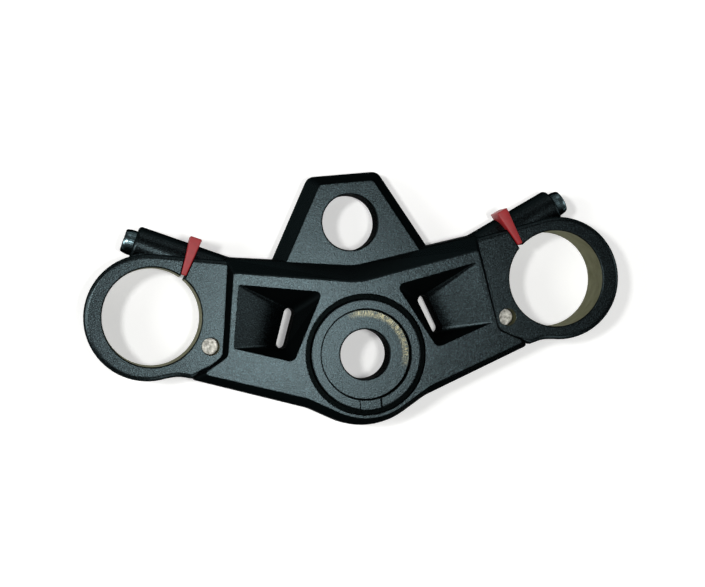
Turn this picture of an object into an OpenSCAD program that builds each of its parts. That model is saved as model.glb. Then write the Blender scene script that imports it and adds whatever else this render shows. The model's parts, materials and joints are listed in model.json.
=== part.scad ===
// Top triple clamp of a motorcycle: one drafted casting with two split fork clamps.
// X runs from fork to fork and Y to the front. Z is up along the steering stem.
// The origin lies on the stem axis, in the plane of the clamps' undersides.

/* [Fork clamps] */
// Distance between the two fork tubes, centre to centre
fork_spacing = 210; // [206:0.5:214]
// How far the fork tubes stand in front of the stem
fork_y = 29; // [28:0.5:30]
// Diameter of the fork tube that each clamp grips
fork_bore_d = 50; // [48:0.5:51]
// Height of the clamps
clamp_h = 26; // [25:0.5:28]
// Wall of a clamp in front of its tube and behind it
clamp_wall = 7; // [6.5:0.5:8]
// Extra wall on the outboard side
outboard_extra = 2.1; // [1.5:0.1:3]
// Rounding of the clamps' top edge
clamp_edge_r = 2.4; // [1.6:0.1:2.8]
// Chamfer at both ends of every machined bore
bore_chamfer = 0.6; // [0.3:0.1:1]

/* [Pinch bolts] */
// Angle of the bolts to the line through the forks
pinch_angle = 24.5; // [23:0.5:26]
// Distance from a fork axis to its bolt axis
pinch_offset = 32.5; // [32:0.25:33]
// Height of the bolt axis above the clamps' undersides
pinch_z = 13; // [12.5:0.25:13.5]
// Diameter of the bolt's thread
bolt_d = 8; // [7:0.5:8]
// Length of the bolt under its head
bolt_l = 45; // [42:0.5:47]
// Diameter of the bolt head
head_d = 13; // [12:0.25:13.5]
// Height of the bolt head
head_h = 8; // [7:0.25:9]
// Width across the flats of the head's socket
socket_af = 6; // [5:0.5:6]
// Depth of the head's socket
socket_depth = 4; // [3:0.5:5]
// Clearance round the bolt where it isn't threaded
bolt_clearance = 0.4; // [0.2:0.1:0.6]
// Clearance round the bolt head where it passes the clamp
head_clearance = 0.5; // [0.3:0.1:1]
// How deep the bolt head sits in the end of its boss
head_sink = 2.4; // [1.5:0.1:3]
// Diameter of the boss round the bolt
pinch_boss_d = 18.8; // [18.2:0.2:19.6]
// How far the boss reaches outboard of the fork axis
pinch_boss_out = 20.6; // [20:0.1:21.2]
// Rounding of the boss's outboard end
pinch_boss_edge = 1.8; // [1.2:0.1:2.2]

/* [Slits and wedges] */
// How far inboard of the fork axis the slit lies
slit_offset = 7.9; // [7.5:0.1:8.5]
// Width of the slit where it opens into the bore
slit_w_bore = 2.4; // [2:0.1:3]
// Width of the slit at the front of the boss
slit_w_front = 5.6; // [5:0.1:6]
// How far the slit's top edges are broken
slit_edge = 0.55; // [0.35:0.1:0.75]
// How far a wedge stands out in front of the boss
wedge_proud = 3.1; // [2.4:0.1:5]
// How far a wedge stands above the clamp
wedge_top = 1; // [0.5:0.1:2]
// Height of the foot of a wedge's nose, in front of the bolt
wedge_nose_z = 12; // [10:0.5:14]
// Gap between a wedge and the bolt under it
wedge_gap = 0.5; // [0.3:0.1:0.8]
// Gap between a wedge's tip and the fork tube
wedge_tip_gap = 1.4; // [1:0.1:2]

/* [Arms] */
// Height of the top of the arms
arm_h = 34; // [33:0.5:35]
// Height of the underside of the arms
arm_base = 3; // [2:0.5:4]
// Where the arms' top edges meet in front of the stem
arm_front_mid = 36.4; // [36:0.1:37.5]
// Front end of an arm's top edge, out from the stem
arm_front_x = 62.8; // [62:0.2:63.5]
// Front end of an arm's top edge, forward of the stem
arm_front_y = 46.9; // [46:0.1:47.5]
// How far the front slope runs out at the middle
front_run_mid = 10.6; // [9.5:0.1:11]
// How far the front slope runs out at an arm's end
front_run_end = 9.4; // [9:0.1:10]
// Rear end of an arm's top edge, out from the stem
arm_rear_x = 82.5; // [81.5:0.2:83]
// Rear end of an arm's top edge, forward of the stem
arm_rear_y = -1.6; // [-2.2:0.1:-1.2]
// Angle at which the rear edge runs in to the stem
arm_rear_angle = 18.9; // [18.3:0.1:19.4]
// How far the rear end of an arm runs outboard on its way down
rear_run_out = 6.5; // [6:0.1:7]
// How far the rear end of an arm runs back on its way down
rear_run_back = 2.7; // [2.2:0.1:3]
// Inner corner of the step down to a clamp, out from the stem
step_x = 69.5; // [69:0.1:70]
// Inner corner of the step down to a clamp, forward of the stem
step_y = 5.8; // [5.4:0.1:6.4]
// How far the step slopes out on its way down
step_run = 3.9; // [3:0.1:4.2]

/* [Stem boss] */
// Diameter of the stem bore
stem_bore_d = 25.4; // [24.5:0.1:26]
// Diameter of the seat for the stem nut
seat_d = 45.7; // [44:0.1:46.5]
// Depth of the seat below the boss ring
seat_depth = 3.4; // [3:0.1:4]
// Diameter of the boss ring round the seat
ring_d = 56; // [55:0.5:57]
// How far the ring stands above the arms
ring_proud = 1; // [0.5:0.1:1.5]
// Width of the groove round the ring
groove_w = 2.8; // [2.4:0.1:3]
// Depth of the groove below the arms
groove_depth = 3.2; // [2.5:0.1:4]
// Width of the key notch behind the seat
key_w = 10.8; // [10:0.2:12]
// Depth of the key notch below the ring
key_depth = 1.2; // [0.8:0.1:1.6]
// Radius of the boss behind the stem, at its top
boss_top_r = 32.3; // [32:0.1:33]
// Radius of the boss behind the stem, at its foot
boss_foot_r = 37; // [36.5:0.1:38]
// Diameter of the recess for the bearing nut, from below
nut_recess_d = 42; // [40:0.5:43]
// Length of the stem bore between seat and recess
stem_bore_l = 16.4; // [15:0.2:18]
// Diameter of the rim round that recess
nut_rim_d = 54; // [52:0.5:56]

/* [Lock tongue] */
// Height of the tongue's top face
tongue_h = 23; // [22:0.25:23.5]
// Thickness of the tongue
tongue_t = 17; // [16:0.25:18]
// How far the tongue's top face reaches forward
tongue_front_y = 88.1; // [87.5:0.1:89]
// Half the width of the top face at its front edge
tongue_front_half = 13.8; // [13.4:0.1:14.6]
// Slant of the tongue's sides to the front, in degrees
tongue_slant = 28.8; // [28.2:0.1:29.2]
// How far the tongue's side slopes run out
tongue_run = 6.4; // [6:0.1:7]
// Diameter of the bore for the ignition lock
lock_bore_d = 28.7; // [28:0.1:30]
// How far the lock bore stands in front of the stem
lock_y = 67.8; // [67.4:0.1:68.4]
// Distance of the lock's two screw holes from the middle
lock_screw_x = 22; // [21.6:0.2:22.6]
// How far the lock's screw holes stand in front of the stem
lock_screw_y = 57; // [56.5:0.1:57.5]
// Tapping diameter of the lock's screw holes
lock_screw_d = 6.8; // [6:0.2:7]
// Depth of the lock's screw holes
lock_screw_l = 12; // [10:0.5:13]

/* [Pockets] */
// Front outer corner of a pocket, out from the stem
pocket_outer_x = 61; // [60.4:0.1:61.4]
// Front outer corner of a pocket, forward of the stem
pocket_outer_y = 41.2; // [40.8:0.1:41.6]
// Length of a pocket's outer edge
pocket_outer_l = 32; // [31:0.2:32.6]
// Lean of a pocket's outer edge, in degrees
pocket_outer_lean = 9.8; // [9.2:0.1:10.2]
// Front inner corner of a pocket, out from the stem
pocket_inner_x = 19; // [18.6:0.1:19.6]
// Front inner corner of a pocket, forward of the stem
pocket_inner_y = 33.6; // [33.2:0.1:34]
// Length of a pocket's inner edge
pocket_inner_l = 38.3; // [37.4:0.2:38.8]
// Lean of a pocket's inner edge, in degrees
pocket_inner_lean = 27.9; // [27.4:0.1:28.4]
// Width of the slot through a pocket's floor
slot_w = 5.6; // [5:0.1:6]
// Length of the slot, from centre to centre of its round ends
slot_l = 15.8; // [15:0.1:16.6]
// Lean of the slot, in degrees
slot_lean = 20; // [19:0.5:21]
// Middle of the slot, out from the stem
slot_x = 37.9; // [37.5:0.1:38.4]
// Middle of the slot, forward of the stem
slot_y = 16.8; // [16.4:0.1:17.2]
// Height of a pocket's floor at the front end of its slot
slot_z = 18; // [17:0.2:19]

/* [Locating pins] */
// Distance of a pin from the middle
pin_x = 77.2; // [76.9:0.1:77.5]
// How far a pin stands in front of the stem
pin_y = 11.5; // [11.2:0.1:11.8]
// Diameter of a pin
pin_d = 9; // [8.4:0.1:9.2]
// Depth of a pin's end below the clamp's top
pin_recess = 7.6; // [7:0.1:9]
// Height of a pin's lower end
pin_foot = 0.5; // [0.4:0.1:1]

/* [Underside cores] */
// Wall left between a pocket's floor and the core under it
core_roof = 7; // [6:0.25:8]
// How far a core's walls lean in on their way up
core_draft = 1.2; // [0.8:0.1:1.5]
// Roof height of the core in front of the stem
front_core_h = 24; // [22:0.5:25]

/* [Hidden] */

$fn = 96;
// How far every cut runs past the face it opens
cut = 1;
// Chamfer along the foot of a machined rim
foot_chamfer = 0.6;
fork_x = fork_spacing / 2;
fork_r = fork_bore_d / 2;
clamp_r = fork_r + clamp_wall;
ring_top = arm_h + ring_proud;
seat_z = ring_top - seat_depth;
nut_recess_top = seat_z - stem_bore_l;
tongue_base = tongue_h - tongue_t;
bolt_r = bolt_d / 2;
pinch_boss_r = pinch_boss_d / 2;
head_seat = pinch_boss_out - head_sink;
bolt_tip = head_seat - bolt_l;
bolt_rim = 0.8;
// How far the tapped hole runs past the bolt
thread_run_out = 2;
// Wall behind the tapped hole
boss_end_wall = 1;
thread_end = bolt_tip - thread_run_out;
boss_front = pinch_offset + pinch_boss_r;
pin_top = clamp_h - pin_recess;
pin_end_chamfer = 0.4;

// Where the slit meets the bore, in the clamp's own frame
slit_mouth = sqrt(fork_r * fork_r - slit_offset * slit_offset);
slit_flare = (slit_w_front - slit_w_bore) / (boss_front - slit_mouth);
wedge_inner = slit_mouth + wedge_tip_gap;
wedge_outer = boss_front + wedge_proud;
wedge_base = pinch_z + bolt_r + wedge_gap;
nose_inner = pinch_offset + bolt_r + wedge_gap;

// Width of the slit at a distance forward of the fork axis, square to the bolt
function slit_width(y) = slit_w_bore + slit_flare * (y - slit_mouth);

// Plan of the slit between two such distances, wider on each side by a margin
function slit_plan(inner, outer, margin = 0) = [
    [-slit_width(inner) / 2 - margin, inner],
    [slit_width(inner) / 2 + margin, inner],
    [slit_width(outer) / 2 + margin, outer],
    [-slit_width(outer) / 2 - margin, outer]
];

// Plane geometry
function unit(v) = v / norm(v);
function cross2(u, v) = u[0] * v[1] - u[1] * v[0];
function line_cross(p, u, q, v) = p + u * cross2(q - p, v) / cross2(u, v);
function mix(a, b, w) = a * (1 - w) + b * w;
function heading(angle) = [cos(angle), sin(angle)];

// A corner of an outline, rounded by an arc that touches both its edges
function corner_arc(before, corner, after, r, steps) =
    let (
        u = unit(before - corner),
        v = unit(after - corner),
        half = acos(u * v) / 2,
        centre = corner + unit(u + v) * r / sin(half),
        first = corner + u * r / tan(half) - centre,
        last = corner + v * r / tan(half) - centre,
        start = atan2(first[1], first[0]),
        turn = atan2(cross2(first, last), first * last)
    )
    [for (i = [0:steps]) centre + r * heading(start + turn * i / steps)];

// An outline of corners, each given as its point, its radius and the steps in its arc
function rounded(corners) =
    let (n = len(corners))
    [
        for (i = [0:n - 1])
        each corner_arc(
            corners[(i + n - 1) % n][0],
            corners[i][0],
            corners[(i + 1) % n][0],
            corners[i][1],
            corners[i][2]
        )
    ];

function mix_corners(a, b, w) =
    [for (i = [0:len(a) - 1]) mix(a[i], b[i], w)];

function flipped(corner) = [[-corner[0][0], corner[0][1]], corner[1], corner[2]];

// The right half of an outline, its corners on the middle line, and the left half
function both_sides(half, front = [], rear = []) =
    concat(rear, half, front, [for (i = [len(half) - 1:-1:0]) flipped(half[i])]);

function lifted(outline, z) = [for (p = outline) [p[0], p[1], z]];

// A closed skin over rings of points, capped by fans about a point in each end
module skin(rings, low, high) {
    n = len(rings[0]);
    last = len(rings) - 1;
    top = last * n;
    points = concat([for (ring = rings) each ring], [low, high]);
    low_fan = [for (i = [0:n - 1]) [i, (i + 1) % n, len(points) - 2]];
    high_fan = [for (i = [0:n - 1]) [top + (i + 1) % n, top + i, len(points) - 1]];
    sides = [
        for (k = [0:last - 1])
        for (i = [0:n - 1])
        let (j = (i + 1) % n)
        each [
            [k * n + j, k * n + i, (k + 1) * n + i],
            [k * n + j, (k + 1) * n + i, (k + 1) * n + j]
        ]
    ];
    polyhedron(points, concat(low_fan, sides, high_fan), convexity = 6);
}

// A drafted body between a foot outline and a top outline.
// Each step of its profile is a height and how far the outline has closed to the top.
module drafted(foot, top, profile, centre) {
    skin(
        [for (s = profile) lifted(rounded(mix_corners(foot, top, s[1])), s[0])],
        [centre[0], centre[1], profile[0][0]],
        [centre[0], centre[1], profile[len(profile) - 1][0]]
    );
}

// Arms: both outlines have the same corners, from the boss behind the stem round to the front
boss_turn = 30;
parting_z = 12;
slope_foot_z = tongue_h;
front_bend_r = 34;
boss_top_fillet = 14;
boss_foot_fillet = 20;
foot_angle_extra = 0.8;
foot_rear_angle = arm_rear_angle + foot_angle_extra;
step_foot_back = 0.3;
front_foot_less = 0.5;
front_foot_out = step_run - front_foot_less;
arm_tip_top_r = 1;
arm_tip_foot_r = 1.5;
step_corner_top_r = 4;
step_corner_foot_r = 5;
boss_steps = 12;
bend_steps = 6;
step_steps = 4;
tip_steps = 3;

function boss_corner(r) = [[0, -r / cos(boss_turn)], r, boss_steps];
function boss_leave(r, end, angle, fillet) =
    let (start = r * [sin(boss_turn), -cos(boss_turn)])
    [line_cross(start, heading(boss_turn), end, heading(angle)), fillet, tip_steps];

arm_rear_end = [arm_rear_x, arm_rear_y];
foot_rear_end = arm_rear_end + [rear_run_out, -rear_run_back];
arm_top = both_sides(
    [
        boss_leave(boss_top_r, arm_rear_end, arm_rear_angle, boss_top_fillet),
        [arm_rear_end, arm_tip_top_r, tip_steps],
        [[step_x, step_y], step_corner_top_r, step_steps],
        [[arm_front_x, arm_front_y], arm_tip_top_r, tip_steps]
    ],
    [[[0, arm_front_mid], front_bend_r, bend_steps]],
    [boss_corner(boss_top_r)]
);
arm_foot = both_sides(
    [
        boss_leave(boss_foot_r, foot_rear_end, foot_rear_angle, boss_foot_fillet),
        [foot_rear_end, arm_tip_foot_r, tip_steps],
        [[step_x + step_run, step_y + step_foot_back], step_corner_foot_r, step_steps],
        [[arm_front_x + front_foot_out, arm_front_y + front_run_end], arm_tip_foot_r, tip_steps]
    ],
    [[[0, arm_front_mid + front_run_mid], front_bend_r, bend_steps]],
    [boss_corner(boss_foot_r)]
);
// Heights at which the edges of a drafted body are rounded: at its foot, at the foot of its
// slope and, in two flats, under its top face
foot_round = 1.2;
slope_round = 3;
top_round_low = 0.8;
top_round_high = 0.25;
arm_profile = [
    [arm_base, 0.05],
    [arm_base + foot_round, 0.015],
    [parting_z, 0],
    [slope_foot_z - slope_round, 0.07],
    [slope_foot_z, 0.15],
    [arm_h - top_round_low, 0.91],
    [arm_h - top_round_high, 0.96],
    [arm_h, 1]
];

module arms() {
    drafted(arm_foot, arm_top, arm_profile, [0, fork_y / 2]);
}

// Tongue that carries the ignition lock, drafted on its three open sides
tongue_root_y = 38;
tongue_front_run = 5.1;
tongue_foot_r = 5;
tongue_top_r = 2.5;
tongue_root_r = 1;
tongue_steps = 5;
tongue_slope_round = 1.6;

function tongue_half_width(y) =
    tongue_front_half + (tongue_front_y - y) * tan(tongue_slant);

function tongue_corners(front_y, run, r) =
    [
        [
            [tongue_half_width(tongue_root_y) + run / cos(tongue_slant), tongue_root_y],
            tongue_root_r,
            1
        ],
        [[tongue_half_width(front_y) + run / cos(tongue_slant), front_y], r, tongue_steps]
    ];

module tongue_body() {
    foot = tongue_corners(tongue_front_y + tongue_front_run, tongue_run, tongue_foot_r);
    top = tongue_corners(tongue_front_y, 0, tongue_top_r);
    profile = [
        [tongue_base, 0.14],
        [tongue_base + foot_round, 0.05],
        [parting_z, 0],
        [parting_z + tongue_slope_round, 0.16],
        [tongue_h - top_round_low, 0.93],
        [tongue_h - top_round_high, 0.97],
        [tongue_h, 1]
    ];
    drafted(both_sides(foot), both_sides(top), profile, [0, lock_y]);
}

// Clamps: everything of one clamp is drawn on the right and mirrored for the left
module on_side(side) {
    mirror([side < 0 ? 1 : 0, 0, 0]) children();
}

// The clamp's own frame: origin on the fork axis, X along the pinch bolt to its head
module clamp_frame() {
    translate([fork_x, fork_y, 0]) rotate([0, 0, pinch_angle]) children();
}

module along_bolt(from, z = pinch_z) {
    clamp_frame() translate([from, pinch_offset, z]) rotate([0, 90, 0]) children();
}

// Half section of a turned disc with a rounded top edge and a small chamfer below
edge_steps = 5;

module edge_section(r, h, edge) {
    polygon(concat(
        [[0, 0], [r - foot_chamfer, 0], [r, foot_chamfer]],
        [
            for (i = [0:edge_steps])
            [r - edge, h - edge] + edge * heading(90 * i / edge_steps)
        ],
        [[0, h]]
    ));
}

module clamp_ring() {
    translate([fork_x + outboard_extra, fork_y, 0])
    rotate_extrude() edge_section(clamp_r, clamp_h, clamp_edge_r);
}

// Solid between the ring and the arm: tangent to the ring in front, with a waist behind
hub = [fork_x + outboard_extra, fork_y];
block_front = [64.9, 53.9];
block_waist = [95, -1.9];
block_rear = [88, -3.7];
block_inside = [61, 29];
block_middle_x = 80;
block_corner_r = 0.5;
waist_angle = -101;
waist_r = 16;
waist_steps = 4;
hub_to_front = block_front - hub;
tangent_angle = atan2(hub_to_front[1], hub_to_front[0]) - acos(clamp_r / norm(hub_to_front));

function block_outline(inset) =
    let (r = clamp_r - inset, forward = [0, inset])
    [
        [block_rear + forward, block_corner_r, 1],
        [block_waist + forward, waist_r, waist_steps],
        [hub + r * heading(waist_angle), block_corner_r, 1],
        [hub - [0, r / 2], block_corner_r, 1],
        [hub + [0, r / 2], block_corner_r, 1],
        [hub + r * heading(tangent_angle), block_corner_r, 1],
        [block_front - inset * heading(tangent_angle), block_corner_r, 1],
        [block_inside, block_corner_r, 1],
        [[step_x, step_y], block_corner_r, 1]
    ];

module clamp_block() {
    profile = concat(
        [[0, foot_chamfer / clamp_edge_r], [foot_chamfer, 0]],
        [
            for (i = [0:edge_steps])
            let (turn = 90 * i / edge_steps)
            [clamp_h - clamp_edge_r * (1 - sin(turn)), 1 - cos(turn)]
        ]
    );
    drafted(block_outline(0), block_outline(clamp_edge_r), profile, [block_middle_x, fork_y]);
}

module pinch_boss() {
    inner = thread_end - boss_end_wall;
    along_bolt(inner)
    rotate_extrude() edge_section(pinch_boss_r, pinch_boss_out - inner, pinch_boss_edge);
}

module clamp_solid() {
    clamp_ring();
    clamp_block();
    pinch_boss();
}

// A bore along Z with a chamfer at both mouths
module chamfered_bore(r, low, high) {
    translate([0, 0, low - cut]) cylinder(r = r, h = high - low + 2 * cut);
    translate([0, 0, high - bore_chamfer])
    cylinder(r1 = r, r2 = r + bore_chamfer + cut, h = bore_chamfer + cut);
    translate([0, 0, low - cut])
    cylinder(r1 = r + bore_chamfer + cut, r2 = r, h = bore_chamfer + cut);
}

module slit_cut() {
    run_in = 4;
    run_out = 2;
    inner = slit_mouth - run_in;
    outer = wedge_outer + run_out;
    edge_low = clamp_h - slit_edge;
    edge_high = clamp_h + cut;
    clamp_frame()
    translate([-slit_offset, 0, 0]) {
        translate([0, 0, -cut])
        linear_extrude(clamp_h + 2 * cut) polygon(slit_plan(inner, outer));
        skin(
            [
                lifted(slit_plan(inner, outer), edge_low),
                lifted(slit_plan(inner, outer, slit_edge + cut), edge_high)
            ],
            [0, slit_mouth, edge_low],
            [0, slit_mouth, edge_high]
        );
    }
}

module bolt_hole() {
    along_bolt(thread_end) cylinder(r = bolt_r, h = pinch_boss_out - thread_end + cut);
    along_bolt(-slit_offset)
    cylinder(r = bolt_r + bolt_clearance, h = pinch_boss_out + slit_offset + cut);
    along_bolt(head_seat)
    cylinder(r = head_d / 2 + head_clearance, h = head_h + cut);
}

module pin_hole() {
    translate([pin_x, pin_y, -cut]) cylinder(d = pin_d, h = clamp_h + 2 * cut);
}

// Pockets: the walls and the sloping floor run from the rim down to the slot
function slot_end(side) = [slot_x, slot_y] + side * slot_l / 2 * [-sin(slot_lean), cos(slot_lean)];

pocket_outer = [pocket_outer_x, pocket_outer_y];
pocket_inner = [pocket_inner_x, pocket_inner_y];
pocket_inner_end =
    pocket_inner + pocket_inner_l * [sin(pocket_inner_lean), -cos(pocket_inner_lean)];
pocket_outer_end =
    pocket_outer + pocket_outer_l * [sin(pocket_outer_lean), -cos(pocket_outer_lean)];
pocket_rear_r = 3.5;
pocket_front_r = 2.5;
pocket_outer_r = 0.6;
pocket_steps = 5;
pocket_rim = [
    [pocket_inner_end, pocket_rear_r, pocket_steps],
    [pocket_outer_end, pocket_outer_r, 2],
    [pocket_outer, pocket_outer_r, 2],
    [pocket_inner, pocket_front_r, pocket_steps]
];

// The floor is one plane, from a pocket's outer edge down to the front end of its slot
function floor_z(p) =
    let (
        out = heading(pocket_outer_lean),
        far = out * pocket_outer,
        near = out * slot_end(1)
    )
    slot_z + (arm_h - slot_z) * (out * p - near) / (far - near);

module pocket_cut() {
    rim_lift = 0.01;
    sliver = 0.2;
    hull() {
        translate([0, 0, arm_h + rim_lift]) linear_extrude(cut) polygon(rounded(pocket_rim));
        for (side = [-1, 1]) {
            translate([each slot_end(side), floor_z(slot_end(side))])
            cylinder(d = slot_w, h = sliver, $fn = 24);
        }
    }
}

module slot_cut() {
    depth = floor_z(slot_end(-1)) + 2 * cut;
    for (side = [-1, 1]) {
        translate([each slot_end(side), -cut]) cylinder(d = slot_w, h = depth);
    }
    translate([slot_x, slot_y, -cut])
    rotate([0, 0, slot_lean])
    translate([-slot_w / 2, -slot_l / 2, 0])
    cube([slot_w, slot_l, depth]);
}

// Cores in the underside
core_corner_r = 3;
core_steps = 4;
side_core = [
    [[49, 14.5], core_corner_r, core_steps],
    [[64.5, 12.5], core_corner_r, core_steps],
    [[60, 37], core_corner_r, core_steps],
    [[47.5, 33], core_corner_r, core_steps]
];

module side_core_cut() {
    middle = (side_core[0][0] + side_core[2][0]) / 2;
    half_span = norm(side_core[0][0] - middle);
    roof = [for (c = side_core) [mix(c[0], middle, core_draft / half_span), c[1], c[2]]];
    skin(
        [
            lifted(rounded(side_core), arm_base - cut),
            [for (p = rounded(roof)) [p[0], p[1], floor_z(p) - core_roof]]
        ],
        [middle[0], middle[1], arm_base - cut],
        [middle[0], middle[1], floor_z(middle) - core_roof]
    );
}

module front_core_cut() {
    wall = 4.5;
    rear_half = 10;
    front_half = 15;
    rear_y = nut_rim_d / 2 + wall;
    front_y = arm_front_mid + front_run_mid - wall;
    foot = [
        [[rear_half, rear_y], core_corner_r, core_steps],
        [[front_half, front_y], core_corner_r, core_steps]
    ];
    roof = [
        [[rear_half - core_draft, rear_y + core_draft], core_corner_r, core_steps],
        [[front_half - core_draft, front_y - core_draft], core_corner_r, core_steps]
    ];
    middle = [0, (rear_y + front_y) / 2];
    drafted(
        both_sides(foot), both_sides(roof),
        [[arm_base - cut, 0], [front_core_h - 1, 0.8], [front_core_h, 1.3]],
        middle
    );
}

// Stem boss
ring_edge_r = 0.6;

module stem_ring() {
    rotate_extrude() edge_section(nut_rim_d / 2, parting_z, foot_chamfer);
    translate([0, 0, parting_z])
    rotate_extrude() edge_section(ring_d / 2, ring_top - parting_z, ring_edge_r);
}

module ring_groove() {
    translate([0, 0, arm_h - groove_depth])
    difference() {
        cylinder(r = ring_d / 2 + groove_w, h = groove_depth + cut);
        translate([0, 0, -cut]) cylinder(r = ring_d / 2, h = groove_depth + 3 * cut);
    }
}

module stem_cut() {
    chamfered_bore(stem_bore_d / 2, nut_recess_top, seat_z);
    translate([0, 0, seat_z]) cylinder(d = seat_d, h = seat_depth + cut);
    translate([0, 0, -cut]) cylinder(d = nut_recess_d, h = nut_recess_top + cut);
    translate([-key_w / 2, -ring_d / 2 - groove_w, ring_top - key_depth])
    cube([key_w, groove_w + (ring_d - seat_d) / 2 + 2 * cut, key_depth + cut]);
}

// Lock seat in the tongue
module lock_cut() {
    translate([0, lock_y, 0]) chamfered_bore(lock_bore_d / 2, tongue_base, tongue_h);
    for (side = [-1, 1]) {
        translate([side * lock_screw_x, lock_screw_y, tongue_base - cut])
        cylinder(d = lock_screw_d, h = lock_screw_l + cut);
    }
}

// The casting
module yoke() {
    color("#1f2224")
    difference() {
        union() {
            arms();
            tongue_body();
            stem_ring();
            for (side = [-1, 1]) {
                on_side(side) clamp_solid();
            }
        }
        ring_groove();
        stem_cut();
        lock_cut();
        front_core_cut();
        for (side = [-1, 1]) {
            on_side(side) {
                translate([fork_x, fork_y, 0]) chamfered_bore(fork_r, 0, clamp_h);
                slit_cut();
                bolt_hole();
                pin_hole();
                pocket_cut();
                slot_cut();
                side_core_cut();
            }
        }
    }
}

// Socket head bolt that closes a clamp
module pinch_bolt(side) {
    color("#15181a")
    on_side(side) {
        difference() {
            union() {
                along_bolt(bolt_tip + bolt_rim) cylinder(r = bolt_r, h = bolt_l - bolt_rim);
                along_bolt(bolt_tip) cylinder(r1 = bolt_r - bolt_rim, r2 = bolt_r, h = bolt_rim);
                along_bolt(head_seat) cylinder(d = head_d, h = head_h - bolt_rim);
                along_bolt(head_seat + head_h - bolt_rim)
                cylinder(r1 = head_d / 2, r2 = head_d / 2 - bolt_rim, h = bolt_rim);
            }
            along_bolt(head_seat + head_h - socket_depth)
            cylinder(d = socket_af / cos(30), h = socket_depth + cut, $fn = 6);
        }
    }
}

// Wedge that holds a slit open: a bar above the bolt, with a nose down in front of it
module slit_wedge(side) {
    color("#c8322e")
    on_side(side) clamp_frame() translate([-slit_offset, 0, 0]) {
        translate([0, 0, wedge_base])
        linear_extrude(clamp_h + wedge_top - wedge_base)
        polygon(slit_plan(wedge_inner, wedge_outer));
        translate([0, 0, wedge_nose_z])
        linear_extrude(clamp_h + wedge_top - wedge_nose_z)
        polygon(slit_plan(nose_inner, wedge_outer));
    }
}

// Pin pressed into the clamp beside the fork tube
module locating_pin(side) {
    r = pin_d / 2;
    color("#b9b8b0")
    on_side(side) translate([pin_x, pin_y, 0]) {
        translate([0, 0, pin_foot + pin_end_chamfer])
        cylinder(r = r, h = pin_top - pin_foot - 2 * pin_end_chamfer);
        translate([0, 0, pin_top - pin_end_chamfer])
        cylinder(r1 = r, r2 = r - pin_end_chamfer, h = pin_end_chamfer);
        translate([0, 0, pin_foot])
        cylinder(r1 = r - pin_end_chamfer, r2 = r, h = pin_end_chamfer);
    }
}

yoke();
pinch_bolt(-1);  // pinch_bolt_left
pinch_bolt(1);  // pinch_bolt_right
slit_wedge(-1);  // slit_wedge_left
slit_wedge(1);  // slit_wedge_right
locating_pin(-1);  // locating_pin_left
locating_pin(1);  // locating_pin_right
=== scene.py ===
"""Looks of the top triple clamp: powder coated casting, bare bores, bolts, wedges and pins."""

import json
import math

import bmesh
import bpy
from mathutils import Euler, Matrix, Vector


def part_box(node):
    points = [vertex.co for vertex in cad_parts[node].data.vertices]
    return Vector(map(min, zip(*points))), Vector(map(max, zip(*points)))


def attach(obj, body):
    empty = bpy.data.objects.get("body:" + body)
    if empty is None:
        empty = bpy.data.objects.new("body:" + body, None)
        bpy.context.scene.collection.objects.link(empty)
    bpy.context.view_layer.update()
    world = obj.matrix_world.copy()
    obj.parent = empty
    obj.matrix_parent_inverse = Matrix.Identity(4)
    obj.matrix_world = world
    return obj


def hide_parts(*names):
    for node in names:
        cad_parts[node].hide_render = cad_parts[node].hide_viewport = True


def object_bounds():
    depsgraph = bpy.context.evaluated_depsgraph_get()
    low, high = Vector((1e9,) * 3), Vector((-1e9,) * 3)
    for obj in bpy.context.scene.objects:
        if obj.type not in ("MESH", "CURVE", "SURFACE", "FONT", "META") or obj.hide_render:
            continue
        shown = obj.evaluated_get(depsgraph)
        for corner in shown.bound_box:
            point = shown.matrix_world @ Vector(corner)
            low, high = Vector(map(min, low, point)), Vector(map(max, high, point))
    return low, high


MM = 0.001

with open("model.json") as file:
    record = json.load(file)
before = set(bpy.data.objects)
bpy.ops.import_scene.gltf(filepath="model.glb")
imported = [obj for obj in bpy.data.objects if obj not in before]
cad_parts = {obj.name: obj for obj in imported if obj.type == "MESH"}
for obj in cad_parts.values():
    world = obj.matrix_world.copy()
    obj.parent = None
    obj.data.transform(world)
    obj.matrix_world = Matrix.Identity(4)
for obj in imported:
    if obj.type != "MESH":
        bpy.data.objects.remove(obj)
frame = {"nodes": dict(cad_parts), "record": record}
cad_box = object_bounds()
mounts = {mount["name"]: mount for mount in frame["record"]["mounts"]}

# Sizes in millimetres that the pieces share with the CAD model
SEAT_R = 22.85
SEAT_Z = 31.6
ARM_TOP = 34
RING_R = 28
GROOVE_W = 2.8
KEY_W = 10.8
FORK_X, FORK_Y = 105, 29
PINCH_ANGLE = 24.5
PINCH_OFFSET = 32.5
PINCH_Z = 13
HEAD_SEAT = 18.2
HEAD_R = 6.5
HEAD_H = 8
BOLT_R = 4
BOLT_L = 45
SOCKET_FLATS = 6
SOCKET_DEPTH = 4
SLIT_OFFSET = 7.9
WEDGE_INNER, NOSE_INNER, WEDGE_OUTER = 25.12, 37, 45
WEDGE_BASE, NOSE_BASE, WEDGE_TOP = 17.5, 12, 27
WEDGE_TIP_W, WEDGE_END_W = 2.65, 6.14


def mount_place(name):
    return Vector(mounts[name]["pos_m"])


def mount_radius(name):
    return mounts[name]["dims"]["r_mm"] * MM


def middle(node):
    low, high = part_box(node)
    return (low + high) / 2


# Shared helpers for colours and nodes
def colour(code):
    """sRGB hex to linear RGBA."""
    parts = [int(code[i:i + 2], 16) / 255 for i in (1, 3, 5)]
    linear = [p / 12.92 if p <= 0.04045 else ((p + 0.055) / 1.055) ** 2.4 for p in parts]
    return (*linear, 1.0)


def per_metre(size_mm):
    """Pattern scale for texture coordinates in metres, from the real size of one feature."""
    return 1 / (size_mm * MM)


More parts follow.
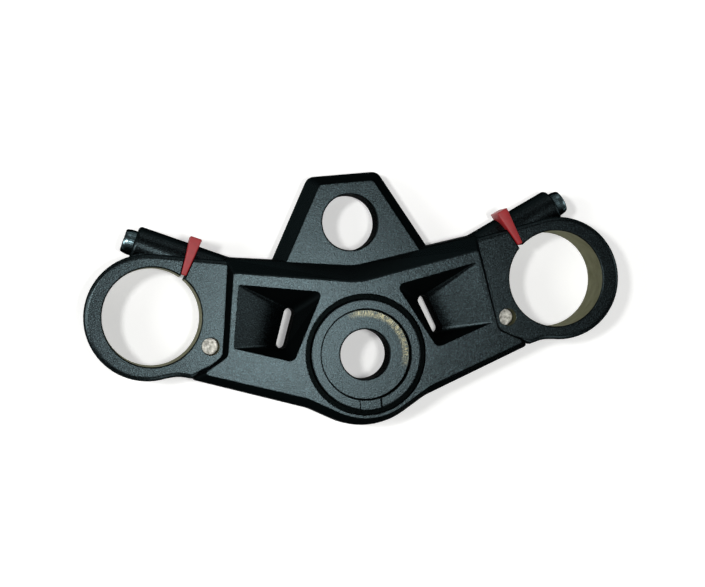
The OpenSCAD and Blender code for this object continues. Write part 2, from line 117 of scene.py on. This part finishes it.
# A Mix node's inputs share the names A and B, so they are reached by number
MIX_A, MIX_B, MIX_OUT = 6, 7, 2
FLOAT_A, FLOAT_B = 2, 3


def add(material, kind, inputs=None, **settings):
    """Adds a node with its settings, and with values or links on its inputs."""
    tree = material.node_tree
    made = tree.nodes.new("ShaderNode" + kind)
    for name, value in settings.items():
        setattr(made, name, value)
    for name, value in (inputs or {}).items():
        if isinstance(value, bpy.types.NodeSocket):
            tree.links.new(value, made.inputs[name])
        else:
            made.inputs[name].default_value = value
    return made


def new_material(name):
    material = bpy.data.materials.new(name)
    material.use_nodes = True
    material.node_tree.nodes.clear()
    return material


def finish_surface(material, shader):
    output = add(material, "OutputMaterial")
    material.node_tree.links.new(shader.outputs[0], output.inputs["Surface"])
    return material


def distance_from_axis(material, place, point):
    """Distance of a surface point from the vertical line through point."""
    offset = add(
        material, "VectorMath", {0: place, 1: (point[0], point[1], 0)}, operation="SUBTRACT"
    )
    flat = add(
        material, "VectorMath", {0: offset.outputs[0], 1: (1, 1, 0)}, operation="MULTIPLY"
    )
    return add(material, "VectorMath", {0: flat.outputs[0]}, operation="LENGTH").outputs["Value"]


def bare_bores(material, place):
    """1 on the machined walls of the fork bores and the pin holes, 0 on their coated rims."""
    fade = 0.06 * MM
    bores = [
        (mount_place("fork_clamp_left"), mount_radius("fork_clamp_left")),
        (mount_place("fork_clamp_right"), mount_radius("fork_clamp_right")),
    ]
    for pin in ("locating_pin_left", "locating_pin_right"):
        low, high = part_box(pin)
        bores.append((middle(pin), (high.x - low.x) / 2))
    bare = None
    for point, radius in bores:
        inside = add(
            material,
            "MapRange",
            {
                "Value": distance_from_axis(material, place, point),
                "From Min": radius,
                "From Max": radius + fade,
                "To Min": 1,
                "To Max": 0,
            },
        ).outputs["Result"]
        if bare is None:
            bare = inside
        else:
            bare = add(material, "Math", {0: bare, 1: inside}, operation="MAXIMUM").outputs[0]
    return bare


def band(material, value, low, high, soft):
    """1 where a length lies between two others, fading out over a soft width."""
    rise = add(material, "MapRange", {"Value": value, "From Min": low - soft, "From Max": low})
    fall = add(
        material,
        "MapRange",
        {"Value": value, "From Min": high, "From Max": high + soft, "To Min": 1, "To Max": 0},
    )
    both = add(
        material,
        "Math",
        {0: rise.outputs["Result"], 1: fall.outputs["Result"]},
        operation="MULTIPLY",
    )
    return both.outputs[0]


def painted_groove_rim_shade(material, place):
    """Painted shade: 1 down the groove round the stem ring, and on the rims of the nut seat and the
    key notch.
    """
    fade = 0.15 * MM
    radius = distance_from_axis(material, place, (0, 0))
    axes = add(material, "SeparateXYZ", {0: place})
    height = axes.outputs["Z"]
    # Each mark reaches a few tenths of a millimetre past the edge it follows
    groove = band(
        material, radius, (RING_R - 0.3) * MM, (RING_R + GROOVE_W + 0.2) * MM, fade
    )
    below_arms = add(
        material, "Math", {0: height, 1: (ARM_TOP - 0.25) * MM}, operation="LESS_THAN"
    )
    groove = add(material, "Math", {0: groove, 1: below_arms.outputs[0]}, operation="MULTIPLY")
    rim = band(material, radius, (SEAT_R - 0.35) * MM, (SEAT_R + 0.55) * MM, fade)
    above_nut = add(
        material, "Math", {0: height, 1: (SEAT_Z - 0.1) * MM}, operation="GREATER_THAN"
    )
    rim = add(material, "Math", {0: rim, 1: above_nut.outputs[0]}, operation="MULTIPLY")
    out_of_middle = add(material, "Math", {0: axes.outputs["X"]}, operation="ABSOLUTE")
    notch = band(
        material,
        out_of_middle.outputs[0],
        (KEY_W / 2 - 0.25) * MM,
        (KEY_W / 2 + 0.35) * MM,
        0.2 * MM,
    )
    in_ring = band(material, radius, SEAT_R * MM, RING_R * MM, 0.1 * MM)
    behind = add(material, "Math", {0: axes.outputs["Y"], 1: 0.0}, operation="LESS_THAN")
    groove_or_rim_shade = add(material, "Math", {0: groove.outputs[0], 1: rim.outputs[0]}, operation="MAXIMUM")
    for part in (in_ring, above_nut.outputs[0], behind.outputs[0]):
        notch = add(material, "Math", {0: notch, 1: part}, operation="MULTIPLY").outputs[0]
    return add(material, "Math", {0: groove_or_rim_shade.outputs[0], 1: notch}, operation="MAXIMUM").outputs[0]


def rubbed_seat(material, place):
    """1 where the stem nut has rubbed its seat, in broken strokes front right of the stem."""
    middle_of_wear = 43
    half_arc = 68
    fade_arc = 24
    worn_from, worn_to = 20.4, 21.6
    fade_in = 1.7
    stroke_w, stroke_l = 0.55, 2.5
    radius = distance_from_axis(material, place, (0, 0))
    ring = band(material, radius, worn_from * MM, worn_to * MM, fade_in * MM)
    turn = math.radians(middle_of_wear)
    along = add(
        material,
        "VectorMath",
        {0: place, 1: (math.cos(turn), math.sin(turn), 0)},
        operation="DOT_PRODUCT",
    )
    share = add(material, "Math", {0: along.outputs["Value"], 1: radius}, operation="DIVIDE")
    in_arc = add(
        material,
        "MapRange",
        {
            "Value": share.outputs[0],
            "From Min": math.cos(math.radians(half_arc)),
            "From Max": math.cos(math.radians(half_arc - fade_arc)),
        },
    )
    axes = add(material, "SeparateXYZ", {0: place})
    on_seat = band(material, axes.outputs["Z"], (SEAT_Z - 0.2) * MM, (SEAT_Z + 0.1) * MM, 0.1 * MM)
    angle = add(
        material, "Math", {0: axes.outputs["Y"], 1: axes.outputs["X"]}, operation="ARCTAN2"
    )
    round_the_seat = add(
        material, "Math", {0: angle.outputs[0], 1: worn_to / stroke_w}, operation="MULTIPLY"
    )
    out_from_stem = add(
        material, "Math", {0: radius, 1: per_metre(stroke_l)}, operation="MULTIPLY"
    )
    unrolled = add(
        material, "CombineXYZ", {"X": round_the_seat.outputs[0], "Y": out_from_stem.outputs[0]}
    )
    strokes = add(
        material, "TexNoise", {"Vector": unrolled.outputs[0], "Scale": 1.0, "Detail": 3}
    )
    broken = add(
        material,
        "MapRange",
        {"Value": strokes.outputs["Fac"], "From Min": 0.4, "From Max": 0.62},
    )
    rubbed = ring
    for part in (in_arc.outputs["Result"], on_seat, broken.outputs["Result"]):
        rubbed = add(material, "Math", {0: rubbed, 1: part}, operation="MULTIPLY").outputs[0]
    return rubbed


# Finishes
def coated_casting():
    """Black polyester powder coat with a fine sand texture, baked on cast aluminium.

    The grit spreads the lamp's mirror image into a grey sheen with small bright specks. At a
    slant each grain shades the next, which a plain clear layer on black wouldn't do, so the coat
    is set as a very dark metal with a dark edge tint. The drafted sides also get painted shade:
    a darker base colour and a darker edge tint, which keep them black.
    The real grains are about 0.2 mm, too fine to show from here, so they are drawn coarser.
    Painted shade makes the groove round the stem ring and the rims of the nut seat and key notch
    darker still.
    The fork bores were cut after coating, so they show the bare alloy, dull and a little olive.
    The stem nut has rubbed an arc of its seat through the coat, in short dull gold strokes.
    """
    grit_mm, speck_mm, skin_mm, drift_mm = 0.7, 0.7, 2.6, 14
    stain_mm = 7
    edge_r = 0.5
    bare_roughness = 0.5
    side_roughness = 0.5
    material = new_material("powder_coated_casting")
    place = add(material, "TexCoord").outputs["Object"]
    grit = add(
        material,
        "TexNoise",
        {"Vector": place, "Scale": per_metre(grit_mm), "Detail": 2, "Roughness": 0.6},
    )
    drift = add(
        material, "TexNoise", {"Vector": place, "Scale": per_metre(drift_mm), "Detail": 3}
    )
    specks = add(
        material, "TexNoise", {"Vector": place, "Scale": per_metre(speck_mm), "Detail": 2}
    )
    cast_skin = add(
        material, "TexNoise", {"Vector": place, "Scale": per_metre(skin_mm), "Detail": 2}
    )

    coat = add(
        material,
        "Mix",
        {"Factor": drift.outputs["Fac"], MIX_A: colour("#1e2425"), MIX_B: colour("#272e30")},
        data_type="RGBA",
    )
    speck_share = add(
        material,
        "MapRange",
        {"Value": specks.outputs["Fac"], "From Min": 0.5, "From Max": 0.74, "To Max": 0.7},
    )
    coat = add(
        material,
        "Mix",
        {
            "Factor": speck_share.outputs["Result"],
            MIX_A: coat.outputs[MIX_OUT],
            MIX_B: colour("#3f4d50"),
        },
        data_type="RGBA",
    )

    # Painted shade: the drafted sides get a darker base colour, so they reflect less of the white
    # ground
    facing = add(material, "TexCoord").outputs["Normal"]
    upward = add(material, "SeparateXYZ", {0: facing}).outputs["Z"]
    top_vs_painted_side_shade = add(
        material, "MapRange", {"Value": upward, "From Min": 0.66, "From Max": 0.78}
    )
    coat = add(
        material,
        "Mix",
        {
            "Factor": top_vs_painted_side_shade.outputs["Result"],
            MIX_A: colour("#1a2021"),
            MIX_B: coat.outputs[MIX_OUT],
        },
        data_type="RGBA",
    )

    bare = bare_bores(material, place)
    alloy_tone = add(
        material, "TexNoise", {"Vector": place, "Scale": per_metre(stain_mm), "Detail": 4}
    )
    alloy = add(
        material,
        "Mix",
        {"Factor": alloy_tone.outputs["Fac"], MIX_A: colour("#393a30"), MIX_B: colour("#7c7d70")},
        data_type="RGBA",
    )
    base = add(
        material,
        "Mix",
        {"Factor": bare, MIX_A: coat.outputs[MIX_OUT], MIX_B: alloy.outputs[MIX_OUT]},
        data_type="RGBA",
    )
    base = add(
        material,
        "Mix",
        {
            "Factor": rubbed_seat(material, place),
            MIX_A: base.outputs[MIX_OUT],
            MIX_B: colour("#66634f"),
        },
        data_type="RGBA",
    )
    # Painted shade: the groove round the stem ring and the seat and notch rims go near black
    base = add(
        material,
        "Mix",
        {
            "Factor": painted_groove_rim_shade(material, place),
            MIX_A: base.outputs[MIX_OUT],
            MIX_B: colour("#020303"),
        },
        data_type="RGBA",
    )

    gloss = add(
        material,
        "MapRange",
        {
            "Value": grit.outputs["Fac"],
            "From Min": 0.3,
            "From Max": 0.7,
            "To Min": 0.25,
            "To Max": 0.33,
        },
    )
    rough = add(
        material,
        "Mix",
        {
            "Factor": top_vs_painted_side_shade.outputs["Result"],
            FLOAT_A: side_roughness,
            FLOAT_B: gloss.outputs["Result"],
        },
    )
    rough = add(
        material, "Mix", {"Factor": bare, FLOAT_A: rough.outputs[0], FLOAT_B: bare_roughness}
    )
    # Painted shade in the reflection: the edge tint is darker on the drafted sides than on the tops
    edge_tint = add(
        material,
        "Mix",
        {"Factor": top_vs_painted_side_shade.outputs["Result"], MIX_A: colour("#3c3c3c"), MIX_B: colour("#959595")},
        data_type="RGBA",
    )
    edge_tint = add(
        material,
        "Mix",
        {"Factor": bare, MIX_A: edge_tint.outputs[MIX_OUT], MIX_B: colour("#c4c4ae")},
        data_type="RGBA",
    )
    soft_edges = add(material, "Bevel", {"Radius": edge_r * MM}, samples=6)
    waves = add(
        material,
        "Bump",
        {
            "Height": cast_skin.outputs["Fac"],
            "Normal": soft_edges.outputs["Normal"],
            "Strength": 0.25,
            "Distance": 0.1 * MM,
        },
    )
    texture = add(
        material,
        "Bump",
        {
            "Height": grit.outputs["Fac"],
            "Normal": waves.outputs["Normal"],
            "Strength": 1.0,
            "Distance": 0.065 * MM,
        },
    )
    shader = add(
        material,
        "BsdfPrincipled",
        {
            "Base Color": base.outputs[MIX_OUT],
            "Metallic": 1.0,
            "Roughness": rough.outputs[0],
            "Specular Tint": edge_tint.outputs[MIX_OUT],
            "Normal": texture.outputs["Normal"],
        },
    )
    return finish_surface(material, shader)


def black_oxide_steel():
    """Forged steel bolts, blackened in hot salts and oiled: black with a hard highlight.

    The oxide soaks up light that grazes it, so the rims stay black, set by a dark edge tint.
    """
    handling_mm = 2.5
    edge_r = 0.3
    material = new_material("black_oxide_steel")
    place = add(material, "TexCoord").outputs["Object"]
    handling = add(
        material, "TexNoise", {"Vector": place, "Scale": per_metre(handling_mm), "Detail": 4}
    )
    base = add(
        material,
        "Mix",
        {"Factor": handling.outputs["Fac"], MIX_A: colour("#3a4a4e"), MIX_B: colour("#86a0a6")},
        data_type="RGBA",
    )
    # Painted shade: the flanks get a darker base colour than the tops, so they reflect less of the
    # white ground and only the tops hold the lamp's highlight
    facing = add(material, "TexCoord").outputs["Normal"]
    upward = add(material, "SeparateXYZ", {0: facing}).outputs["Z"]
    top_vs_painted_side_shade = add(material, "MapRange", {"Value": upward, "From Min": 0.6, "From Max": 0.92})
    base = add(
        material,
        "Mix",
        {
            "Factor": top_vs_painted_side_shade.outputs["Result"],
            MIX_A: colour("#161d1f"),
            MIX_B: base.outputs[MIX_OUT],
        },
        data_type="RGBA",
    )
    gloss = add(
        material,
        "MapRange",
        {"Value": handling.outputs["Fac"], "To Min": 0.2, "To Max": 0.32},
    )
    soft_edges = add(material, "Bevel", {"Radius": edge_r * MM}, samples=6)
    shader = add(
        material,
        "BsdfPrincipled",
        {
            "Base Color": base.outputs[MIX_OUT],
            "Metallic": 1.0,
            "Roughness": gloss.outputs["Result"],
            "Specular Tint": colour("#7a7a7a"),
            "Normal": soft_edges.outputs["Normal"],
        },
    )
    return finish_surface(material, shader)


def moulded_red_plastic():
    """Injection moulded polypropylene in signal red: an even colour with a dull gloss."""
    rubbing_mm = 3
    edge_r = 0.3
    material = new_material("moulded_red_plastic")
    place = add(material, "TexCoord").outputs["Object"]
    rubbing = add(
        material, "TexNoise", {"Vector": place, "Scale": per_metre(rubbing_mm), "Detail": 4}
    )
    base = add(
        material,
        "Mix",
        {"Factor": rubbing.outputs["Fac"], MIX_A: colour("#7a1015"), MIX_B: colour("#9d1c21")},
        data_type="RGBA",
    )
    soft_edges = add(material, "Bevel", {"Radius": edge_r * MM}, samples=6)
    texture = add(
        material,
        "Bump",
        {
            "Height": rubbing.outputs["Fac"],
            "Normal": soft_edges.outputs["Normal"],
            "Strength": 0.2,
            "Distance": 0.1 * MM,
        },
    )
    shader = add(
        material,
        "BsdfPrincipled",
        {
            "Base Color": base.outputs[MIX_OUT],
            "Roughness": 0.5,
            "IOR": 1.49,
            "Normal": texture.outputs["Normal"],
        },
    )
    return finish_surface(material, shader)


def ground_steel():
    """Bearing steel dowels, ground to size: bright, with fine scratches on the ends.

    The scratches are finer than a pixel from here, so they are drawn coarser.
    """
    scratch_mm = 1.5
    material = new_material("ground_steel")
    place = add(material, "TexCoord").outputs["Object"]
    scratches = add(
        material, "TexNoise", {"Vector": place, "Scale": per_metre(scratch_mm), "Detail": 5}
    )
    bright = add(
        material,
        "MapRange",
        {"Value": scratches.outputs["Fac"], "From Min": 0.33, "From Max": 0.67},
    )
    base = add(
        material,
        "Mix",
        {"Factor": bright.outputs["Result"], MIX_A: colour("#6e6d66"), MIX_B: colour("#cbcac1")},
        data_type="RGBA",
    )
    texture = add(
        material,
        "Bump",
        {"Height": scratches.outputs["Fac"], "Strength": 0.5, "Distance": 0.1 * MM},
    )
    shader = add(
        material,
        "BsdfPrincipled",
        {
            "Base Color": base.outputs[MIX_OUT],
            "Metallic": 1.0,
            "Roughness": 0.5,
            "Normal": texture.outputs["Normal"],
        },
    )
    return finish_surface(material, shader)


def dress(node, material):
    """Gives a CAD node its finish."""
    for slot in frame["nodes"][node].material_slots:
        slot.material = material


def fit_piece(mesh, name, place, side, finish):
    """Lays a piece, drawn in millimetres for the right clamp, in its place on either clamp."""
    for face in mesh.faces:
        face.smooth = True
    mesh.transform(Matrix.Scale(MM, 4) @ place)
    if side == "left":
        mesh.transform(Matrix.Scale(-1, 4, (1, 0, 0)))
    bmesh.ops.recalc_face_normals(mesh, faces=mesh.faces)
    data = bpy.data.meshes.new(name)
    mesh.to_mesh(data)
    mesh.free()
    piece = bpy.data.objects.new(name, data)
    bpy.context.scene.collection.objects.link(piece)
    data.materials.append(finish)
    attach(piece, "root")
    return piece


# Cap screws: turned section, knurled head and rolled thread
def screw_section():
    """Half section of a cap screw along its axis, from the edge of its tip to the head."""
    thread_l = 28
    pitch = 1.25
    root_r, crest_r, point_r = BOLT_R - 0.62, BOLT_R - 0.02, BOLT_R - 1.1
    tip = -BOLT_L
    first_turn = tip + 0.8
    points = [(point_r, tip), (root_r, tip + 0.6)]
    turns = int(thread_l / pitch)
    for i in range(turns):
        foot = first_turn + i * pitch
        points.append((root_r, foot))
        points.append((crest_r, foot + 0.45 * pitch))
        points.append((crest_r, foot + 0.57 * pitch))
    shank = first_turn + turns * pitch
    points += [(root_r, shank), (crest_r, shank + 0.7), (crest_r, 0)]
    return points


def knurled_screw(name, side, finish):
    """A socket head cap screw, drawn about its own axis and laid along the clamp's bolt axis."""
    segments = 144
    ridges = 48
    ridge_depth = 0.14
    knurl_from, knurl_to = 1.1, HEAD_H - 3.2
    knurl_run_out = 0.25
    smooth_r = HEAD_R - 0.05
    # Steps of the rounded crown: how far in from the head's side and how far below its top
    crown = [(0.35, 1.4), (0.55, 0.7), (0.85, 0.2), (1.3, 0)]
    mesh = bmesh.new()

    def ring(r, along, knurled=False):
        made = []
        for i in range(segments):
            turn = 2 * math.pi * i / segments
            wave = ridge_depth * (0.5 + 0.5 * math.cos(ridges * turn)) if knurled else 0
            made.append(
                mesh.verts.new(((r - wave) * math.cos(turn), (r - wave) * math.sin(turn), along))
            )
        return made

    def hexagon(along):
        """Points of the socket's hexagon, one for each segment of the head."""
        made = []
        for i in range(segments):
            turn = 2 * math.pi * i / segments
            from_flat = (turn + math.pi / 6) % (math.pi / 3) - math.pi / 6
            r = SOCKET_FLATS / 2 / math.cos(from_flat)
            made.append(mesh.verts.new((r * math.cos(turn), r * math.sin(turn), along)))
        return made

    def pole(along):
        return [mesh.verts.new((0, 0, along))] * segments

    rings = [pole(-BOLT_L)]
    rings += [ring(r, along) for r, along in screw_section()]
    rings += [
        ring(BOLT_R + 0.3, 0),
        ring(HEAD_R - 0.35, 0),
        ring(smooth_r, 0.3),
        ring(smooth_r, knurl_from - knurl_run_out),
        ring(HEAD_R, knurl_from, knurled=True),
        ring(HEAD_R, knurl_to, knurled=True),
        ring(smooth_r, knurl_to + knurl_run_out),
    ]
    rings += [ring(HEAD_R - inward, HEAD_H - below) for inward, below in crown]
    rings += [
        ring(SOCKET_FLATS / 2 + 0.85, HEAD_H),
        hexagon(HEAD_H - 0.5),
        hexagon(HEAD_H - SOCKET_DEPTH),
        ring(SOCKET_FLATS / 2 - 0.35, HEAD_H - SOCKET_DEPTH - 0.05),
        pole(HEAD_H - SOCKET_DEPTH - 0.9),
    ]
    for low, high in zip(rings, rings[1:]):
        for i in range(segments):
            j = (i + 1) % segments
            corners = (low[i], low[j], high[j], high[i])
            mesh.faces.new(list(dict.fromkeys(corners)))
    turn = math.radians(PINCH_ANGLE)
    axis = Vector((math.cos(turn), math.sin(turn), 0))
    across = Vector((-math.sin(turn), math.cos(turn), 0))
    seat = Vector((FORK_X, FORK_Y, PINCH_Z)) + HEAD_SEAT * axis + PINCH_OFFSET * across
    lie = Matrix((across, Vector((0, 0, 1)), axis)).transposed().to_4x4()
    screw = fit_piece(mesh, name, Matrix.Translation(seat) @ lie, side, finish)
    sharp = screw.modifiers.new("crisp_edges", "EDGE_SPLIT")
    sharp.split_angle = math.radians(40)
    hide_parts("pinch_bolt_" + side)


# Wedges: plastic mouldings with rounded edges, so a dark line shows where each meets the slit
def moulded_wedge(name, side, finish):
    """Tapered block with a nose down in front of the bolt, drawn in the clamp's own frame."""
    edge_r = 0.6
    side_view = [
        (WEDGE_INNER, WEDGE_BASE),
        (NOSE_INNER, WEDGE_BASE),
        (NOSE_INNER, NOSE_BASE),
        (WEDGE_OUTER, NOSE_BASE),
        (WEDGE_OUTER, WEDGE_TOP),
        (NOSE_INNER, WEDGE_TOP),
        (WEDGE_INNER, WEDGE_TOP),
    ]
    mesh = bmesh.new()
    walls = []
    for hand in (-1, 1):
        wall = []
        for out, up in side_view:
            share = (out - WEDGE_INNER) / (WEDGE_OUTER - WEDGE_INNER)
            width = WEDGE_TIP_W + share * (WEDGE_END_W - WEDGE_TIP_W)
            wall.append(mesh.verts.new((hand * width / 2 - SLIT_OFFSET, out, up)))
        walls.append(wall)
    count = len(side_view)
    for i in range(count):
        j = (i + 1) % count
        mesh.faces.new((walls[0][i], walls[0][j], walls[1][j], walls[1][i]))
    mesh.faces.new(walls[0][::-1])
    mesh.faces.new(walls[1])
    bmesh.ops.dissolve_limit(mesh, angle_limit=math.radians(1), verts=mesh.verts, edges=mesh.edges)
    bmesh.ops.recalc_face_normals(mesh, faces=mesh.faces)
    bmesh.ops.bevel(
        mesh, geom=mesh.edges[:], offset=edge_r, segments=4, profile=0.5, affect="EDGES"
    )
    turn = math.radians(PINCH_ANGLE)
    clamp = Matrix.Translation((FORK_X, FORK_Y, 0)) @ Matrix.Rotation(turn, 4, "Z")
    wedge = fit_piece(mesh, name, clamp, side, finish)
    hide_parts("slit_wedge_" + side)


# Studio
CAMERA_PLACE = Vector((-130.5, 39.2, 833.9)) * MM
CAMERA_TURN = (0.301, -8.996, -5.458)
LENS_MM = 81.84
SENSOR_MM = 36


def set_camera():
    """The camera of the photograph: above the left clamp, leaning over to the right."""
    data = bpy.data.cameras.new("camera")
    data.lens = LENS_MM
    data.sensor_width = SENSOR_MM
    data.clip_start = 0.01
    camera = bpy.data.objects.new("camera", data)
    camera.location = CAMERA_PLACE
    camera.rotation_euler = Euler([math.radians(a) for a in CAMERA_TURN])
    bpy.context.scene.collection.objects.link(camera)
    bpy.context.scene.camera = camera


def lay_floor():
    """White ground that keeps the part's shadow, with its distances in metres."""
    half = 12.0
    gap = 0.02 * MM
    shadow_reach, clear_from = 0.35, 1.6
    near_glow = 0.3
    mesh = bpy.data.meshes.new("floor")
    corners = [(-half, -half, 0), (half, -half, 0), (half, half, 0), (-half, half, 0)]
    mesh.from_pydata(corners, [], [(0, 1, 2, 3)])
    floor = bpy.data.objects.new("floor", mesh)
    floor.location.z = cad_box[0][2] - gap
    bpy.context.scene.collection.objects.link(floor)
    material = new_material("white_ground")
    ground = add(material, "BsdfDiffuse", {"Color": colour("#f4f4f2")})
    # Near the part the ground only glows a little, so its shadow stays; further off it is white
    place = add(material, "TexCoord").outputs["Object"]
    clear = add(
        material,
        "MapRange",
        {
            "Value": distance_from_axis(material, place, (0, 0)),
            "From Min": shadow_reach,
            "From Max": clear_from,
            "To Min": near_glow,
            "To Max": 1.0,
        },
    )
    glow = add(material, "Emission", {"Color": colour("#ffffff"), "Strength": clear.outputs[0]})
    both = add(material, "AddShader", {0: ground.outputs[0], 1: glow.outputs[0]})
    path = add(material, "LightPath")
    seen = path.outputs["Is Camera Ray"]
    for ray in ("Is Glossy Ray", "Is Transmission Ray"):
        seen = add(
            material, "Math", {0: seen, 1: path.outputs[ray]}, operation="MAXIMUM"
        ).outputs[0]
    shader = add(material, "MixShader", {0: seen, 1: ground.outputs[0], 2: both.outputs[0]})
    finish_surface(material, shader)
    mesh.materials.append(material)


def add_softbox(name, place, size, power):
    """A round soft lamp that looks at the middle of the part."""
    aim = Vector((0, 20 * MM, 0))
    data = bpy.data.lights.new(name, "AREA")
    data.shape = "DISK"
    data.size = size
    data.energy = power
    lamp = bpy.data.objects.new(name, data)
    lamp.location = place
    lamp.rotation_euler = (aim - Vector(place)).to_track_quat("-Z", "Y").to_euler()
    bpy.context.scene.collection.objects.link(lamp)


def light_studio():
    """A lamp beside the camera for the sheen, one from the left for shadows, four soft windows."""
    add_softbox("sheen_lamp", (0.045, -0.008, 0.9), 0.10, 2.4)
    add_softbox("left_lamp", (-0.60, 0.21, 1.2), 0.16, 6.5)
    add_softbox("left_window", (-1.4, 0.15, 0.95), 0.8, 13)
    add_softbox("right_window", (1.5, 0.1, 0.6), 0.8, 3.4)
    add_softbox("back_window", (0.3, 1.5, 0.7), 0.8, 1.4)
    add_softbox("front_window", (0.3, -1.5, 1.0), 0.8, 5)
    world = bpy.data.worlds.new("studio")
    world.use_nodes = True
    background = world.node_tree.nodes["Background"]
    background.inputs["Color"].default_value = colour("#ffffff")
    background.inputs["Strength"].default_value = 0.08
    bpy.context.scene.world = world


dress("yoke", coated_casting())
bolt_finish = black_oxide_steel()
wedge_finish = moulded_red_plastic()
pin_finish = ground_steel()
for side in ("left", "right"):
    knurled_screw("cap_screw_" + side, side, bolt_finish)
    moulded_wedge("moulded_wedge_" + side, side, wedge_finish)
    dress("locating_pin_" + side, pin_finish)

set_camera()
lay_floor()
light_studio()
bpy.context.scene.view_settings.view_transform = "Standard"
